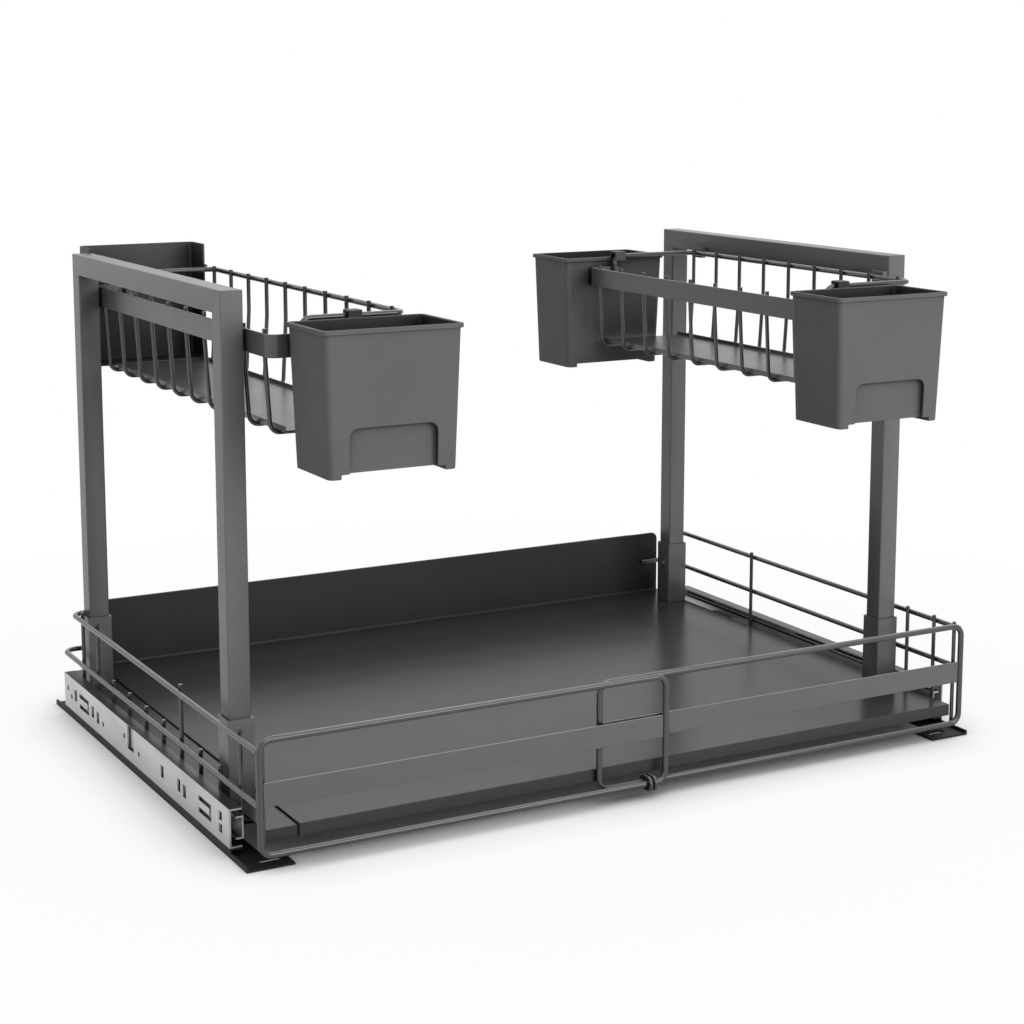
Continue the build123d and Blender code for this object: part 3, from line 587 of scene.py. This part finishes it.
class ORGANIZER_OT_base(bpy.types.Operator):
    """Finish the base rails, cross bars, ball slides, screws and rivets"""

    bl_idname = "organizer.base"
    bl_label = "Base and slides"

    def execute(self, context):
        sizes = context.scene.organizer_sizes
        finishes = context.scene.organizer_finishes
        base_coat = coat(
            "base_coat",
            finishes.base_colour,
            finishes.plastic_gloss,
            BASE_SHINE,
            sizes.coat_grain,
            EDGE_HIGHLIGHT_SHARE,
        )
        for node in BASE_NODES:
            radius = sizes.base_rounding
            rounded(node, radius, BASE_STEPS, all_edges, base_coat)
        # The slides get a painted shade on what faces straight up
        slide_zinc = zinc("slide_zinc_plate", finishes.zinc_colour, SHADED_TOP_TONE)
        for node in SLIDE_NODES:
            painted(node, slide_zinc)
        screw_plate = zinc("screw_plate", finishes.screw_colour, UNSHADED_TOP_TONE)
        for node in FASTENER_NODES:
            painted(node, screw_plate)
        return {"FINISHED"}


class ORGANIZER_OT_bins(bpy.types.Operator):
    """Round and grain the moulded bins"""

    bl_idname = "organizer.bins"
    bl_label = "Moulded bins"

    def execute(self, context):
        sizes = context.scene.organizer_sizes
        finishes = context.scene.organizer_finishes
        material = moulded(
            "bin_moulded",
            finishes.plastic_colour,
            finishes.plastic_gloss,
            sizes.plastic_grain,
        )
        for node in BIN_NODES:
            rounded(node, sizes.bin_rounding, BIN_STEPS, all_edges, material)
        return {"FINISHED"}


def calculated(tree, operation, first, second):
    node = tree.nodes.new("ShaderNodeMath")
    node.operation = operation
    tree.links.new(first, node.inputs[0])
    tree.links.new(second, node.inputs[1])
    return node.outputs["Value"]


def seen_directly(tree):
    """1 for what the camera sees straight, in gloss or through glass, and 0 for other light."""
    path = tree.nodes.new("ShaderNodeLightPath")
    seen = calculated(
        tree, "MAXIMUM", path.outputs["Is Camera Ray"], path.outputs["Is Glossy Ray"]
    )
    return calculated(tree, "MAXIMUM", seen, path.outputs["Is Transmission Ray"])


def contact_shadow(tree, reach, depth):
    """Painted shadow: 1 on open floor, falling by the depth where the object lies close above."""
    cover = tree.nodes.new("ShaderNodeAmbientOcclusion")
    cover.samples = SHADOW_SAMPLES
    cover.inputs["Distance"].default_value = reach
    return ranged(tree, cover.outputs["AO"], 1.0 - depth, 1.0, *SHADOW_COVER)


def floor_material(sizes, finishes):
    """Matt white, mixed with a white glow that carries a painted contact shadow."""
    material = bpy.data.materials.new("floor_white")
    material.use_nodes = True
    tree = material.node_tree
    tree.nodes.clear()
    output = tree.nodes.new("ShaderNodeOutputMaterial")
    matt = tree.nodes.new("ShaderNodeBsdfDiffuse")
    matt.inputs["Color"].default_value = FLOOR_COLOUR
    glow = tree.nodes.new("ShaderNodeEmission")
    shadow = contact_shadow(tree, sizes.shadow_reach, finishes.floor_shadow)
    tree.links.new(shadow, glow.inputs["Strength"])
    place = tree.nodes.new("ShaderNodeTexCoord")
    distance = tree.nodes.new("ShaderNodeVectorMath")
    distance.operation = "LENGTH"
    tree.links.new(place.outputs["Object"], distance.inputs[0])
    far = sizes.shadow_radius
    near = FLOOR_GLOW_START * far
    glow_share = ranged(tree, distance.outputs["Value"], *FLOOR_GLOW_SHARES, near, far)
    mix = tree.nodes.new("ShaderNodeMixShader")
    seen_glow = calculated(tree, "MULTIPLY", glow_share, seen_directly(tree))
    tree.links.new(seen_glow, mix.inputs["Fac"])
    tree.links.new(matt.outputs["BSDF"], mix.inputs[1])
    tree.links.new(glow.outputs["Emission"], mix.inputs[2])
    tree.links.new(mix.outputs["Shader"], output.inputs["Surface"])
    return material


def studio_floor(sizes, finishes):
    """A round floor that keeps shadows near the middle and is plain white beyond."""
    shape = bmesh.new()
    bmesh.ops.create_circle(
        shape, cap_ends=True, segments=FLOOR_SIDES, radius=sizes.floor_radius
    )
    mesh = bpy.data.meshes.new("studio_floor")
    shape.to_mesh(mesh)
    shape.free()
    mesh.materials.append(floor_material(sizes, finishes))
    floor = bpy.data.objects.new("studio_floor", mesh)
    bpy.context.scene.collection.objects.link(floor)


def studio_world():
    """White where it is seen, and a faint even light elsewhere."""
    world = bpy.data.worlds.new("studio_white")
    bpy.context.scene.world = world
    world.use_nodes = True
    tree = world.node_tree
    tree.nodes.clear()
    output = tree.nodes.new("ShaderNodeOutputWorld")
    background = tree.nodes.new("ShaderNodeBackground")
    background.inputs["Color"].default_value = WHITE
    strength = ranged(tree, seen_directly(tree), AMBIENT_STRENGTH, 1.0, 0.0, 1.0)
    tree.links.new(strength, background.inputs["Strength"])
    tree.links.new(background.outputs["Background"], output.inputs["Surface"])


def soft_lamp(name, place, width, height, power):
    lamp = bpy.data.lights.new(name, "AREA")
    lamp.shape = "RECTANGLE"
    lamp.size = width
    lamp.size_y = height
    lamp.energy = power
    holder = bpy.data.objects.new(name, lamp)
    holder.location = place
    aim = Vector(LAMP_TARGET) - Vector(place)
    holder.rotation_euler = aim.to_track_quat("-Z", "Y").to_euler()
    bpy.context.scene.collection.objects.link(holder)


def studio_camera():
    camera = bpy.data.cameras.new("studio_camera")
    camera.lens = CAMERA_LENS
    camera.sensor_width = CAMERA_SENSOR
    camera.shift_y = CAMERA_SHIFT
    camera.clip_end = CAMERA_REACH
    holder = bpy.data.objects.new("studio_camera", camera)
    holder.location = CAMERA_PLACE
    tilt = math.radians(90 - CAMERA_DOWN_DEGREES)
    holder.rotation_euler = (tilt, 0.0, math.radians(CAMERA_TURN_DEGREES))
    bpy.context.scene.collection.objects.link(holder)
    bpy.context.scene.camera = holder


class ORGANIZER_OT_studio(bpy.types.Operator):
    """Set the white floor, the soft lamps and the camera"""

    bl_idname = "organizer.studio"
    bl_label = "Studio"

    def execute(self, context):
        studio_floor(context.scene.organizer_sizes, context.scene.organizer_finishes)
        studio_world()
        for name, (place, width, height, power) in LAMPS.items():
            soft_lamp(name, place, width, height, power)
        studio_camera()
        context.scene.view_settings.view_transform = "Standard"
        return {"FINISHED"}


class ORGANIZER_PT_panel(bpy.types.Panel):
    """The organizer's sizes, finishes and steps"""

    bl_idname = "ORGANIZER_PT_panel"
    bl_label = "Under-sink organizer"
    bl_space_type = "VIEW_3D"
    bl_region_type = "UI"
    bl_category = "Organizer"

    def draw(self, context):
        for group in (context.scene.organizer_sizes, context.scene.organizer_finishes):
            for name in group.__annotations__:
                self.layout.prop(group, name)
        for step in STEPS:
            self.layout.operator(step.bl_idname)


STEPS = (
    ORGANIZER_OT_frame,
    ORGANIZER_OT_tray,
    ORGANIZER_OT_wires,
    ORGANIZER_OT_base,
    ORGANIZER_OT_bins,
    ORGANIZER_OT_studio,
)
CLASSES = (OrganizerSizes, OrganizerFinishes, *STEPS, ORGANIZER_PT_panel)


def register():
    for each in CLASSES:
        bpy.utils.register_class(each)
    bpy.types.Scene.organizer_sizes = bpy.props.PointerProperty(type=OrganizerSizes)
    bpy.types.Scene.organizer_finishes = bpy.props.PointerProperty(type=OrganizerFinishes)


def unregister():
    del bpy.types.Scene.organizer_finishes
    del bpy.types.Scene.organizer_sizes
    for each in reversed(CLASSES):
        bpy.utils.unregister_class(each)


def main():
    register()
    bpy.ops.organizer.frame()
    bpy.ops.organizer.tray()
    bpy.ops.organizer.wires()
    bpy.ops.organizer.base()
    bpy.ops.organizer.bins()
    bpy.ops.organizer.studio()


if __name__ == "__main__":
    main()
